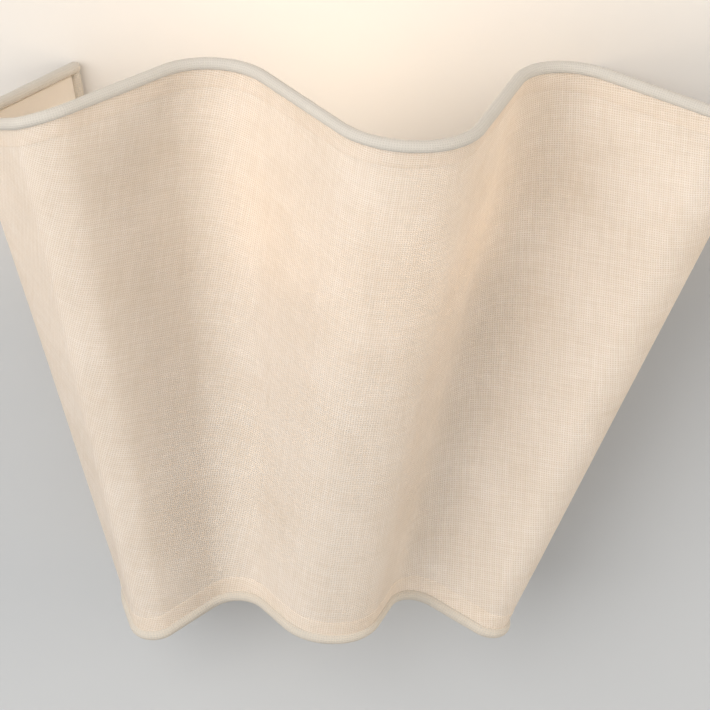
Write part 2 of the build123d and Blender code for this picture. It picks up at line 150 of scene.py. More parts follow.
class StudioSizes(bpy.types.PropertyGroup):
    """Wall, floor, lamps and camera."""

    wall_paint: colour("Wall", "Colour of the painted wall", "#C0C1C1")
    # the paler colour above the lamp is painted light: it stands in for the lamp's glow on the
    # wall
    wall_painted_lamplight: colour("Wall above", "Colour of the wall above the lamp", "#E3DED7")
    wall_width: length("Wall width", "Width of the wall behind the lamp", 4.0)
    opening_radius: length("Wall opening", "Round opening behind the back plate", 0.046)
    floor_depth: length("Floor drop", "From the lamp's middle down to the floor", 0.9)
    key_power: FloatProperty(
        name="Key power", description="Power of the large soft lamp", default=104.0, unit="POWER"
    )
    key_place: length("Key place", "Where the large soft lamp stands", (-2.1, -2.45, 1.2))
    key_size: length("Key size", "Width of the large soft lamp", 2.6)
    fill_power: FloatProperty(
        name="Fill power", description="Power of the small warm lamp at the right", default=23.0,
        unit="POWER",
    )
    fill_place: length("Fill place", "Where the small warm lamp stands", (2.2, -1.0, 0.55))
    fill_size: length("Fill size", "Width of the small warm lamp", 0.9)
    sky: colour("Ambient", "Colour of the light from all round", "#F4F6FA")
    sky_strength: FloatProperty(
        name="Ambient strength", description="Brightness of the light from all round",
        default=0.52, min=0.0,
    )
    camera_place: length("Camera place", "Where the camera stands", (-0.4401, -2.2374, 0.9337))
    camera_aim: length("Camera aim", "The point that the camera looks at", (0.0153, 0.0, -0.0204))
    camera_roll: FloatProperty(
        name="Camera roll", description="Turn about the line of sight", default=0.0801,
        subtype="ANGLE",
    )
    lens: FloatProperty(
        name="Lens", description="Focal length in millimetres", default=336.3, min=1.0
    )


# ---- fixed details, in metres where they are lengths ---------------------------------------
BACK_OFFSET = 0.00003  # from a sheet's inner face to what it lies on
HEM_GAP = 0.00002  # between the cover and a hem
HEM_PROFILE = ((0, 1), (0.4, 1), (0.8, 1), (0.93, 0.9), (0.985, 0.55), (1, 0.15))  # way, thickness
ROLL_SIDES = 24  # faces around a roll
ROLL_WANDER = 0.00006  # how far a roll is out of round
ROLL_CAP = ((0.55, 0.82), (0.85, 0.5), (0.98, 0.12))  # a roll's rounded end: way out, size
RIM_ROLL_END = 0.4  # how far a rim roll passes the upright, in roll radii
EDGE_ROLL_INSET = 1.2  # how far an edge roll stops short of the rims, in roll radii
RIM_ARC_STEPS = 24
EDGE_STEPS = 60
RIM_SEAM_TURN = 2.4  # where the free edge of the rolled cloth lies, in radians
EDGE_SEAM_TURN = 1.2
SMOOTH_BELOW = 50  # degrees between faces that are shaded as one surface
GLOBE_FOOT, GLOBE_SIDE, FOOT_SHARE = 0.052, 0.084, 0.25  # heights and share of the lit globe
# heights over which the wall is painted paler: painted light for the lamp's glow
PAINTED_LIGHT_FROM, PAINTED_LIGHT_TO = -0.02, 0.14  # heights between which the wall turns paler
CAP_SIDES, RIDGE_STEPS = 64, 8
WALL_BEHIND = 0.0006  # from the part's back to the studio's wall
OPENING_SIDES = 96
KEY_TINT, FILL_TINT = (1.0, 0.99, 0.98), (1.0, 0.91, 0.8)
SURROUNDINGS = "#E6E6E6"


# ---- outline of the shade ------------------------------------------------------------------
def rim_corners(level, lobes, wall_end):
    """Corners of a rim's centre line, from the left upright to the right one."""
    half = [Vector((side, -reach, level + height)) for side, reach, height, _ in lobes]
    half.append(Vector((wall_end[0], -wall_end[1], level + wall_end[2])))
    mirrored = [Vector((-corner.x, corner.y, corner.z)) for corner in reversed(half)]
    return mirrored + half


def shade_rims(sizes):
    """Corners and arc radii of the top rim and of the bottom rim."""
    rims = []
    for name in ("top", "bottom"):
        parts = ("front_lobe", "valley", "side_lobe", "side_return")
        lobes = [getattr(sizes, f"{name}_{part}") for part in parts]
        level = getattr(sizes, f"{name}_level")
        half = [lobe[3] for lobe in lobes]
        corners = rim_corners(level, lobes, getattr(sizes, f"{name}_wall_end"))
        rims.append((corners, half[::-1] + half))
    return rims


def rounded(corners, radii, run_steps, arc_steps):
    """Points on the runs between corners and on the tangent arcs that round them."""
    points = [corners[0]]
    for before, corner, after, radius in zip(corners, corners[1:], corners[2:], radii):
        back, ahead = (before - corner).normalized(), (after - corner).normalized()
        half_angle = back.angle(ahead) / 2
        start = corner + back * (radius / math.tan(half_angle))
        stop = corner + ahead * (radius / math.tan(half_angle))
        centre = corner + (back + ahead).normalized() * (radius / math.sin(half_angle))
        points += [points[-1].lerp(start, i / run_steps) for i in range(1, run_steps)]
        turn = math.pi - 2 * half_angle
        for i in range(arc_steps + 1):
            first = math.sin(turn * (1 - i / arc_steps)) / math.sin(turn)
            second = math.sin(turn * i / arc_steps) / math.sin(turn)
            points.append(centre + (start - centre) * first + (stop - centre) * second)
    last = points[-1]
    return points + [last.lerp(corners[-1], i / run_steps) for i in range(1, run_steps + 1)]


def plan_normal(start, end):
    """Level unit vector, square to the run from start to end, towards the shade's inside."""
    run = end - start
    return Vector((-run.y, run.x, 0)).normalized()


def roll_clearance(rim, place, ruling, inset, reach):
    """How far along a ruling the skin starts, so that it runs in under a rim's roll."""
    starts = []
    for a, b in zip(rim[max(place - 1, 0) :], rim[max(place, 1) : place + 2]):
        run = (b - a).normalized()
        across = ruling - run * ruling.dot(run)
        lean = inset * across.dot(plan_normal(a, b))
        square = across.dot(across)
        inside = max(lean**2 - square * (inset**2 - reach**2), 0)
        starts.append((math.sqrt(inside) - lean) / square)
    return max(starts)


def skin_line(sizes, below_top, above_bottom, inset):
    """Points of a level line on the skin, from the left upright to the right one.

    It runs at a distance below the top roll or, where that is None, above the bottom roll,
    and lies towards the inside of the skin's middle by inset.
    """
    (top_rim, top_radii), (bottom_rim, bottom_radii) = shade_rims(sizes)
    reach = sizes.roll_radius - sizes.tuck
    points, radii = [], []
    for place, (top, bottom) in enumerate(zip(top_rim, bottom_rim)):
        span = (bottom - top).length
        down = (bottom - top) / span
        if below_top is None:
            clear = roll_clearance(bottom_rim, place, -down, inset, reach)
            share = 1 - (clear + above_bottom) / span
        else:
            share = (roll_clearance(top_rim, place, down, inset, reach) + below_top) / span
        points.append(top.lerp(bottom, share))
        if 0 < place < len(top_rim) - 1:
            radius = top_radii[place - 1]
            radii.append(radius + (bottom_radii[place - 1] - radius) * share)
    for end, beside in ((0, 1), (-1, -2)):
        run = (points[beside] - points[end]).normalized()
        upright = (bottom_rim[end] - top_rim[end]).normalized()
        points[end] = points[end] + run * (reach / run.cross(upright).length)
    moved = [points[0] + plan_normal(points[0], points[1]) * inset]
    for i in range(1, len(points) - 1):
        first = plan_normal(points[i - 1], points[i])
        second = plan_normal(points[i], points[i + 1])
        moved.append(points[i] + (first + second) * (inset / (1 + first.dot(second))))
        radii[i - 1] += -inset if first.cross(second).z > 0 else inset
    moved.append(points[-1] + plan_normal(points[-2], points[-1]) * inset)
    return np.array(rounded(moved, radii, sizes.run_steps, sizes.arc_steps))


# ---- cloth meshes --------------------------------------------------------------------------
def flat_cut(top, bottom):
    """The skin between two lines laid out flat: the places of both lines' points."""
    middle = len(top) // 2
    flat_top, flat_bottom = np.zeros((len(top), 2)), np.zeros((len(top), 2))
    flat_top[middle] = (0, np.linalg.norm(top[middle] - bottom[middle]))

    def lay(a, b, from_a, from_b, side):
        """The point at given distances from a and b, on the given side of the line a to b."""
        along = b - a
        span = np.linalg.norm(along)
        unit = along / span
        x = (from_a**2 - from_b**2 + span**2) / (2 * span)
        y = math.sqrt(max(from_a**2 - x**2, 0))
        return a + unit * x + side * y * np.array((-unit[1], unit[0]))

    for step in (1, -1):
        i = middle
        while 0 <= i + step < len(top):
            j = i + step
            tt, bt = np.linalg.norm(top[j] - top[i]), np.linalg.norm(top[j] - bottom[i])
            flat_top[j] = lay(flat_top[i], flat_bottom[i], tt, bt, step)
            bb, tb = np.linalg.norm(bottom[j] - bottom[i]), np.linalg.norm(bottom[j] - top[j])
            flat_bottom[j] = lay(flat_bottom[i], flat_top[j], bb, tb, -step)
            i = j
    return flat_top, flat_bottom


def cover_rows(sizes, inset):
    """Rows of points of the cover, from under the top roll to under the bottom roll."""
    ends = [
        skin_line(sizes, 0, None, inset),
        skin_line(sizes, sizes.top_hem_width, None, inset),
        skin_line(sizes, None, sizes.bottom_hem_width, inset),
        skin_line(sizes, None, 0, inset),
    ]
    shares = np.linspace(0, 1, sizes.rows + 1)[1:-1, None, None]
    between = ends[1] + (ends[2] - ends[1]) * shares
    return np.concatenate([[ends[0], ends[1]], between, [ends[2], ends[3]]])


def cut_places(outer, rows):
    """Places of rows of points on the flat cut of the cover."""
    top_flat, bottom_flat = flat_cut(outer[0], outer[-1])
    share = np.linalg.norm(rows - outer[0], axis=2) / np.linalg.norm(outer[-1] - outer[0], axis=1)
    return top_flat + (bottom_flat - top_flat) * share[..., None]


def thin_sheet(name, outer, inner, cut):
    """A closed sheet of cloth between two grids of points, with its flat cut as its UV map."""
    rows, columns = outer.shape[:2]
    grid = np.arange(rows * columns).reshape(rows, columns)
    back = grid + rows * columns

    def quads(a, b, c, d):
        return np.stack([a.ravel(), b.ravel(), c.ravel(), d.ravel()], 1)

    faces = [
        quads(grid[:-1, :-1], grid[1:, :-1], grid[1:, 1:], grid[:-1, 1:]),
        quads(back[:-1, :-1], back[:-1, 1:], back[1:, 1:], back[1:, :-1]),
        quads(grid[0, :-1], grid[0, 1:], back[0, 1:], back[0, :-1]),
        quads(grid[-1, :-1], back[-1, :-1], back[-1, 1:], grid[-1, 1:]),
        quads(grid[:-1, 0], back[:-1, 0], back[1:, 0], grid[1:, 0]),
        quads(grid[:-1, -1], grid[1:, -1], back[1:, -1], back[:-1, -1]),
    ]
    points = np.concatenate([outer.reshape(-1, 3), inner.reshape(-1, 3)])
    return cloth_piece(name, points, np.concatenate(faces), np.tile(cut.reshape(-1, 2), (2, 1)))


def cloth_piece(name, points, faces, places):
    """An object from points, faces and each point's place on the flat cloth."""
    mesh = bpy.data.meshes.new(name)
    mesh.from_pydata(points.tolist(), [], faces.tolist())
    layer = mesh.uv_layers.new(name="cut")
    corners = np.empty(len(mesh.loops), int)
    mesh.loops.foreach_get("vertex_index", corners)
    layer.data.foreach_set("uv", np.asarray(places)[corners].ravel())
    piece = bpy.data.objects.new(name, mesh)
    bpy.context.scene.collection.objects.link(piece)
    bpy.ops.object.select_all(action="DESELECT")
    piece.select_set(True)
    bpy.context.view_layer.objects.active = piece
    bpy.ops.object.shade_smooth_by_angle(angle=math.radians(SMOOTH_BELOW))
    return piece


def rolled_tube(name, path, sizes, seam_turn):
    """Cloth rolled over a wire along a path: its free edge shows as a small step."""
    path = np.array(path)
    ahead = np.gradient(path, axis=0)
    ahead /= np.linalg.norm(ahead, axis=1)[:, None]
    rings = [
        (path[0] - ahead[0] * sizes.roll_radius * out, ahead[0], size)
        for out, size in reversed(ROLL_CAP)
    ]
    rings += [(point, run, 1.0) for point, run in zip(path, ahead)]
    rings += [
        (path[-1] + ahead[-1] * sizes.roll_radius * out, ahead[-1], size)
        for out, size in ROLL_CAP
    ]
    points, places = [], []
    walked, before = 0.0, rings[0][0]
    for centre, run, size in rings:
        walked += np.linalg.norm(centre - before)
        before = centre
        side = np.cross(run, (0, 0, 1) if abs(run[2]) < 0.8 else (0, 1, 0))
        side /= np.linalg.norm(side)
        up = np.cross(side, run)
        for i in range(ROLL_SIDES):
            turn = 2 * math.pi * i / ROLL_SIDES
            angle = turn + seam_turn
            lift = sizes.roll_step * (i / (ROLL_SIDES - 1) - 0.5)
            lift += ROLL_WANDER * noise.noise(Vector(centre) * 90 + Vector((turn, 0, 0)))
            out = (sizes.roll_radius + lift) * size
            points.append(centre + side * math.cos(angle) * out + up * math.sin(angle) * out)
            places.append((walked, turn * sizes.roll_radius))
    faces = []
    for ring in range(len(rings) - 1):
        a, b = ring * ROLL_SIDES, (ring + 1) * ROLL_SIDES
        for i in range(ROLL_SIDES):
            j = (i + 1) % ROLL_SIDES
            faces.append((a + i, b + i, b + j, a + j))
    tube = cloth_piece(name, np.array(points), np.array(faces), places)
    # the open ends are closed, and the faces turned outwards
    bpy.ops.object.mode_set(mode="EDIT")
    bpy.ops.mesh.select_mode(type="EDGE")
    bpy.ops.mesh.select_all(action="DESELECT")
    bpy.ops.mesh.select_non_manifold()
    bpy.ops.mesh.fill_holes(sides=0)
    bpy.ops.mesh.select_all(action="SELECT")
    bpy.ops.mesh.normals_make_consistent(inside=False)
    bpy.ops.object.mode_set(mode="OBJECT")
    return tube


# ---- finishes ------------------------------------------------------------------------------
def add(material, kind, settings=None, **inputs):
    """Adds a node to a material with its settings, and its inputs as values or links."""
    tree = material.node_tree
    node = tree.nodes.new(kind)
    for name, value in (settings or {}).items():
        setattr(node, name, value)
    for name, value in inputs.items():
        key = int(name[1:]) if name[0] == "i" and name[1:].isdigit() else name.replace("_", " ")
        if isinstance(value, bpy.types.NodeSocket):
            tree.links.new(value, node.inputs[key])
        else:
            node.inputs[key].default_value = value
    return node


def new_finish(name):
    """An empty material."""
    material = bpy.data.materials.new(name)
    material.use_nodes = True
    material.node_tree.nodes.clear()
    return material


def opaque(rgb):
    """A colour with full alpha, as colour sockets take it."""
    return (*rgb, 1.0)


def one_layer(material, shader):
    """Ends a material so that a thin closed sheet passes light once, as one layer does."""
    clear = add(material, "ShaderNodeBsdfTransparent")
    behind = add(material, "ShaderNodeNewGeometry").outputs["Backfacing"]
    sheet = add(
        material, "ShaderNodeMixShader", i0=behind, i1=shader.outputs[0], i2=clear.outputs[0]
    )
    add(material, "ShaderNodeOutputMaterial", Surface=sheet.outputs[0])
    return material


def woven_cloth(name, look, high, low, through_share):
    """Linen, plain woven from uneven flax yarn and unbleached.

    It is matt and warm white, with a fine grid of threads, thick places along single threads
    and a faint cloudiness, and it lets some of the lamp's light through.
    """
    material = new_finish(name)
    place = add(material, "ShaderNodeUVMap", {"uv_map": "cut"}).outputs[0]
    weave = []
    slubs = []
    pitch = look.thread_pitch
    for direction, (across, along) in (("X", (1, 0)), ("Y", (0, 1))):
        wave = add(
            material, "ShaderNodeTexWave", {"wave_type": "BANDS", "bands_direction": direction},
            Vector=place, Scale=math.pi / (10 * pitch), Distortion=1.7, Detail=1.0,
            Detail_Scale=0.35,
        )
        weave.append(wave.outputs["Fac"])
        size = (across / (1.6 * pitch) + along / look.slub_length,
                along / (1.6 * pitch) + across / look.slub_length, 1)
        stretched = add(material, "ShaderNodeMapping", Vector=place, Scale=size)
        slubs.append(
            add(
                material, "ShaderNodeTexNoise", Vector=stretched.outputs[0], Scale=1.0,
                Detail=3.0, Roughness=0.6,
            ).outputs["Fac"]
        )
    threads = add(material, "ShaderNodeMath", {"operation": "MAXIMUM"}, i0=weave[0], i1=weave[1])
    uneven = add(material, "ShaderNodeMath", {"operation": "ADD"}, i0=slubs[0], i1=slubs[1])
    height = add(
        material, "ShaderNodeMath", {"operation": "MULTIPLY"}, i0=threads.outputs[0],
        i1=uneven.outputs[0],
    ).outputs[0]
    cloudy = add(material, "ShaderNodeTexNoise", Vector=place, Scale=32.0, Detail=4.0)
    drift = add(
        material, "ShaderNodeMath", {"operation": "MULTIPLY_ADD"}, i0=cloudy.outputs[0], i1=0.47,
        i2=-0.17,
    )
    tone = add(
        material, "ShaderNodeMath", {"operation": "MULTIPLY_ADD"}, i0=height, i1=0.72,
        i2=drift.outputs[0],
    )
    cloth = add(
        material, "ShaderNodeMix", {"data_type": "RGBA"}, i0=tone.outputs[0], i6=opaque(low),
        i7=opaque(high),
    ).outputs[2]
    bump = add(
        material, "ShaderNodeBump", Strength=0.75, Distance=0.00018, Height=height
    ).outputs[0]
    front = add(
        material, "ShaderNodeBsdfPrincipled", Base_Color=cloth, Roughness=0.92, IOR=1.45,
        Specular_IOR_Level=0.25, Normal=bump,
    )
    front.inputs["Sheen Weight"].default_value = 0.12
    front.inputs["Sheen Roughness"].default_value = 0.5
    lit = add(
        material, "ShaderNodeMix", {"data_type": "RGBA", "blend_type": "MULTIPLY"},
        i0=0.65, i6=opaque(look.through), i7=cloth,
    ).outputs[2]
    behind = add(material, "ShaderNodeBsdfTranslucent", Color=lit, Normal=bump)
    mixed = add(
        material, "ShaderNodeMixShader", i0=through_share, i1=front.outputs[0],
        i2=behind.outputs[0],
    )
    return one_layer(material, mixed)


def translucent_sheet(name, look):
    """Polystyrene lampshade film, calendered matt on both faces.

    It is a plain warm white that scatters the lamp's light evenly and shows no gloss.
    """
    material = new_finish(name)
    place = add(material, "ShaderNodeTexCoord").outputs["Object"]
    grain = add(material, "ShaderNodeTexNoise", Vector=place, Scale=700.0, Detail=2.0)
    bump = add(
        material, "ShaderNodeBump", Strength=0.15, Distance=0.0001, Height=grain.outputs[0]
    ).outputs[0]
    front = add(
        material, "ShaderNodeBsdfPrincipled", Base_Color=opaque(look.sheet), Roughness=0.7,
        IOR=1.59, Normal=bump,
    )
    behind = add(material, "ShaderNodeBsdfTranslucent", Color=opaque(look.sheet), Normal=bump)
    mixed = add(
        material, "ShaderNodeMixShader", i0=0.35, i1=front.outputs[0], i2=behind.outputs[0]
    )
    return one_layer(material, mixed)


def metal(name, light, dark, roughness, scratch):
    """Bare or plated metal: two tones in fine stretched streaks, with an uneven gloss."""
    material = new_finish(name)
    place = add(material, "ShaderNodeTexCoord").outputs["Object"]
    drawn = add(material, "ShaderNodeMapping", Vector=place, Scale=(1.0, 1.0, scratch))
    streaks = add(
        material, "ShaderNodeTexNoise", Vector=drawn.outputs[0], Scale=420.0, Detail=4.0
    ).outputs[0]
    patches = add(material, "ShaderNodeTexNoise", Vector=place, Scale=60.0, Detail=2.0).outputs[0]
    tone = add(
        material, "ShaderNodeMix", {"data_type": "RGBA"}, i0=patches, i6=opaque(linear(dark)),
        i7=opaque(linear(light)),
    ).outputs[2]
    gloss = add(
        material, "ShaderNodeMapRange", Value=streaks, To_Min=roughness * 0.75,
        To_Max=roughness * 1.3,
    ).outputs[0]
    bump = add(
        material, "ShaderNodeBump", Strength=0.12, Distance=0.00005, Height=streaks
    ).outputs[0]
    skin = add(
        material, "ShaderNodeBsdfPrincipled", Base_Color=tone, Metallic=1.0,
        Roughness=gloss, Normal=bump,
    )
    add(material, "ShaderNodeOutputMaterial", Surface=skin.outputs[0])
    return material


def moulded(name, light, dark, roughness, grain, bump_mm, coat=0.0):
    """A moulded, painted or powder coated skin: one colour, a fine texture, a soft gloss."""
    material = new_finish(name)
    place = add(material, "ShaderNodeTexCoord").outputs["Object"]
    texture = add(
        material, "ShaderNodeTexNoise", Vector=place, Scale=grain, Detail=3.0
    ).outputs[0]
    patches = add(material, "ShaderNodeTexNoise", Vector=place, Scale=45.0, Detail=2.0).outputs[0]
    tone = add(
        material, "ShaderNodeMix", {"data_type": "RGBA"}, i0=patches, i6=opaque(linear(dark)),
        i7=opaque(linear(light)),
    ).outputs[2]
    bump = add(
        material, "ShaderNodeBump", Strength=0.25, Distance=bump_mm / 1000, Height=texture
    ).outputs[0]
    skin = add(
        material, "ShaderNodeBsdfPrincipled", Base_Color=tone, Roughness=roughness, IOR=1.5,
        Normal=bump,
    )
    skin.inputs["Coat Weight"].default_value = coat
    add(material, "ShaderNodeOutputMaterial", Surface=skin.outputs[0])
    return material


def lit_globe(name, lamp):
    """Opal polycarbonate over a lamp board: an even warm light, a little dimmer at the foot."""
    material = new_finish(name)
    place = add(material, "ShaderNodeTexCoord").outputs["Object"]
    height = add(material, "ShaderNodeSeparateXYZ", Vector=place).outputs["Z"]
    fade = add(
        material, "ShaderNodeMapRange", Value=height, From_Min=GLOBE_FOOT, From_Max=GLOBE_SIDE,
        To_Min=FOOT_SHARE * lamp.glow_strength, To_Max=lamp.glow_strength,
    ).outputs[0]
    skin = add(
        material, "ShaderNodeBsdfPrincipled", Base_Color=opaque(linear("#F3EEE6")), Roughness=0.35,
        Emission_Color=opaque(lamp.glow), Emission_Strength=fade,
    )
    add(material, "ShaderNodeOutputMaterial", Surface=skin.outputs[0])
    return material


def dress(material, *nodes):
    """Gives CAD nodes their material."""
    for name in nodes:
        mesh_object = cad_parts[name]
        mesh_object.data.materials.clear()
        mesh_object.data.materials.append(material)


def settle(piece, material, body, slot, *nodes):
    """Gives a new piece its material and body, and hides the CAD nodes that it stands in for. The
    slot is not used.
    """
    piece.data.materials.clear()
    piece.data.materials.append(material)
    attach(piece, body)
    if nodes:
        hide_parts(*nodes)
    return piece


# ---- operators -----------------------------------------------------------------------------
class WALLLIGHT_OT_shade_hems(bpy.types.Operator):
    """Turned-over strips of linen under the top rim and over the bottom rim"""

    bl_idname = "walllight.shade_hems"
    bl_label = "Shade hems"

    def execute(self, context):
        sizes, look = context.scene.walllight_shade, context.scene.walllight_linen
        cloth = woven_cloth("linen hem", look, look.thread, look.gap, through_share=0.5)
        face = -sizes.lining_half
        outer = cover_rows(sizes, face)
        # each hem is a second layer, eased at its free edge
        for name, width, at_top in (
            ("top", sizes.top_hem_width, True), ("bottom", sizes.bottom_hem_width, False)
        ):
            grids = []
            for proud in (True, False):
                grid = []
                for along, thickness in HEM_PROFILE:
                    lift = sizes.hem_thickness * thickness if proud else -BACK_OFFSET
                    away = (along * width, None) if at_top else (None, along * width)
                    grid.append(skin_line(sizes, *away, face - HEM_GAP - lift))
                grids.append(np.array(grid if at_top else grid[::-1]))
            hem = thin_sheet(f"{name}_hem_strip", *grids, cut_places(outer, grids[0]))
            settle(hem, cloth, "shade", "linen", f"{name}_hem")
        return {"FINISHED"}


class WALLLIGHT_OT_rolled_edges(bpy.types.Operator):
    """Linen rolled over the two rim wires and the two uprights"""

    bl_idname = "walllight.rolled_edges"
    bl_label = "Rolled edges"

    def execute(self, context):
        sizes, look = context.scene.walllight_shade, context.scene.walllight_linen
        # both rolls take the darker colours: painted shade on the beads over the wires
        upper = woven_cloth(
            "rolled woven linen", look, look.rolled, look.rolled_shaded_gap, through_share=0.06
        )
        lower = woven_cloth(
            "lower rolled linen", look, look.edge, look.rolled_shaded_gap, through_share=0.06
        )
        rims = shade_rims(sizes)
        for name, (corners, radii) in zip(("top", "bottom"), rims):
            past = sizes.roll_radius * RIM_ROLL_END
            first = corners[0] + (corners[0] - corners[1]).normalized() * past
            last = corners[-1] + (corners[-1] - corners[-2]).normalized() * past
            line = [first, *corners[1:-1], last]
            path = rounded(line, radii, sizes.run_steps * 2, RIM_ARC_STEPS)
            shaded_edging, seam = (upper, -RIM_SEAM_TURN) if name == "top" else (lower, RIM_SEAM_TURN)
            tube = rolled_tube(f"{name}_rim_cloth", path, sizes, seam)
            settle(tube, shaded_edging, "shade", "rolled_linen", f"{name}_rim_roll")
        for name, end in (("left", 0), ("right", -1)):
            top, bottom = rims[0][0][end], rims[1][0][end]
            inset = (bottom - top).normalized() * sizes.roll_radius * EDGE_ROLL_INSET
            shares = [i / EDGE_STEPS for i in range(EDGE_STEPS + 1)]
            path = [(top + inset).lerp(bottom - inset, share) for share in shares]
            tube = rolled_tube(f"{name}_edge_cloth", path, sizes, EDGE_SEAM_TURN)
            settle(tube, lower, "shade", "rolled_linen", f"{name}_edge_roll")
        return {"FINISHED"}


class WALLLIGHT_OT_shade_cover(bpy.types.Operator):
    """Linen cover, made after its hems and rolled edges, with its flat cut"""

    bl_idname = "walllight.shade_cover"
    bl_label = "Shade cover"

    def execute(self, context):
        sizes, look = context.scene.walllight_shade, context.scene.walllight_linen
        names = ["top_hem_strip", "bottom_hem_strip", "top_rim_cloth", "bottom_rim_cloth"]
        names += ["left_edge_cloth", "right_edge_cloth"]
        if any(name not in bpy.data.objects for name in names):
            raise RuntimeError("the cover needs its hems and rolled edges first")
        outer, inner = cover_rows(sizes, -sizes.lining_half), cover_rows(sizes, -BACK_OFFSET)
        cut = cut_places(outer, outer)
        outwards = outer - inner
        outwards /= np.linalg.norm(outwards, axis=2)[..., None]
        for row in range(2, len(outer) - 2):
            inside_hems = min(row - 1, len(outer) - 2 - row, 4) / 4
            for column in range(len(outer[row])):
                u, v = cut[row, column]
                out = (noise.noise(Vector((u * 26, v * 9, 0))) + 1) * sizes.wander * inside_hems
                outer[row, column] += outwards[row, column] * out
        cover = thin_sheet("woven_cover", outer, inner, cut)
        cloth = woven_cloth(
            "natural woven linen", look, look.thread, look.gap, through_share=0.38
        )
        settle(cover, cloth, "shade", "linen", "linen_cover")

        return {"FINISHED"}


class WALLLIGHT_OT_shade_frame(bpy.types.Operator):
    """Lining panels, rim wires, uprights and strap"""

    bl_idname = "walllight.shade_frame"
    bl_label = "Shade frame"

    def execute(self, context):
        look = context.scene.walllight_linen
        film = translucent_sheet("matt polystyrene film", look)
        dress(film, "left_lining", "front_lining", "right_lining")
        # mild steel wire and strap, powder coated: even white with a fine orange peel
        coat = moulded(
            "white powder coat", "#EDEBE6", "#E4E1DB", roughness=0.42, grain=1100, bump_mm=0.05,
            coat=0.1,
        )
        dress(coat, "top_ring_wire", "bottom_ring_wire", "left_upright", "right_upright")
        dress(coat, "carrier_strap")
        return {"FINISHED"}


class WALLLIGHT_OT_wall_plate(bpy.types.Operator):
    """Bracket, back plate, clips, arm and lampholder"""

    bl_idname = "walllight.wall_plate"
    bl_label = "Wall plate and lampholder"

    def execute(self, context):
        # pressed steel, powder coated: satin white with a fine orange peel
        plate = moulded(
            "satin white plate coat", "#ECEAE6", "#E2DFDA", roughness=0.38, grain=1000,
            bump_mm=0.05, coat=0.15,
        )
        dress(plate, "back_plate", "lamp_arm", "arm_collar")
        # mild steel strip, bright zinc plated: bluish grey with faint streaks
        zinc = metal("bright zinc plate", "#CDD0D4", "#B3B7BC", roughness=0.34, scratch=0.12)
        dress(zinc, "wall_bracket", "clip_rivets", "block_screw")
        # cold rolled spring steel, oiled: darker, with a drawn grain
        spring = metal("oiled spring steel", "#A9ACB0", "#8B8E93", roughness=0.28, scratch=0.05)
        dress(spring, "shade_clips")
        # turned steel under nickel: warm bright metal with a clear shine
        nickel = metal("nickel plate", "#D6D0C4", "#C4BDB0", roughness=0.2, scratch=1.0)
        dress(nickel, "plate_screws", "bulb_cap")
        # turned brass: warm yellow with fine tool marks
        brass = metal("turned brass", "#DDB56A", "#B98F45", roughness=0.27, scratch=1.0)
        dress(
            brass, "arm_inner_nut", "holder_shell", "holder_contact", "terminal_screws",
            "earth_lug", "earth_screw", "bulb_tip",
        )
        # moulded polyester resin: hard, white and slightly shiny
        resin = moulded(
            "moulded white resin", "#EDEAE3", "#E3DFD6", roughness=0.33, grain=800, bump_mm=0.03
        )
        dress(resin, "holder_cap", "holder_sleeve", "holder_core")
        # moulded nylon: milky, softer gloss
        nylon = moulded(
            "milky nylon", "#E9E6DA", "#DCD8C9", roughness=0.45, grain=600, bump_mm=0.03
        )
        dress(nylon, "terminal_block")
        # extruded flexible insulation: brown, blue and green, smooth with a soft gloss
        for node, light, dark in (
            ("live_lead", "#6B432B", "#5A3723"),
            ("neutral_lead", "#2F5FAE", "#274F92"),
            ("earth_lead", "#5E9E3C", "#4F8832"),
        ):
            insulation = moulded(
                f"{node} insulation", light, dark, roughness=0.4, grain=500, bump_mm=0.03
            )
            dress(insulation, node)
        return {"FINISHED"}


class WALLLIGHT_OT_screw_cap(bpy.types.Operator):
    """Screw cap of the bulb, with its thread rolled in as rounded ridges"""

    bl_idname = "walllight.screw_cap"
    bl_label = "Screw cap"

    def execute(self, context):
        lamp = context.scene.walllight_lamp
        low, high = (Vector(corner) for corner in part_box("bulb_cap"))
        middle, crest = (low + high) / 2, (high.x - low.x) / 2
        rings = [(0.0, lamp.thread_root)]
        count = lamp.thread_ridges * RIDGE_STEPS
        for step in range(1, count + 1):
            wave = (1 - math.cos(2 * math.pi * step / RIDGE_STEPS)) / 2
            radius = lamp.thread_root + (crest - lamp.thread_root) * wave
            rings.append((lamp.thread_height * step / count, radius))
        rings.append((high.z - low.z, lamp.thread_root))
        bpy.ops.object.select_all(action="DESELECT")
        bpy.ops.mesh.primitive_circle_add(
            vertices=CAP_SIDES, radius=lamp.thread_root, fill_type="NGON",
            location=(middle.x, middle.y, low.z),
        )
        cap = context.object
        cap.name = "rolled_screw_cap"
        bpy.ops.object.transform_apply(location=True, rotation=True, scale=True)
        bpy.ops.object.mode_set(mode="EDIT")
        bpy.ops.mesh.select_all(action="SELECT")
        for (below, before), (height, radius) in zip(rings, rings[1:]):
            bpy.ops.mesh.extrude_region_move(
                TRANSFORM_OT_translate={"value": (0, 0, height - below)}
            )
            bpy.ops.transform.resize(
                value=(radius / before, radius / before, 1),
                center_override=(middle.x, middle.y, low.z + height),
            )
        bpy.ops.mesh.select_all(action="SELECT")
        bpy.ops.mesh.normals_make_consistent(inside=False)
        bpy.ops.object.mode_set(mode="OBJECT")
        bpy.ops.object.shade_smooth_by_angle(angle=math.radians(SMOOTH_BELOW))
        # brass sheet under nickel: bright, with soft streaks from rolling
        plate = metal("nickel plated sheet", "#D6D0C4", "#C2BBAE", roughness=0.22, scratch=1.0)
        settle(cap, plate, "bulb", "nickel", "bulb_cap")
        return {"FINISHED"}


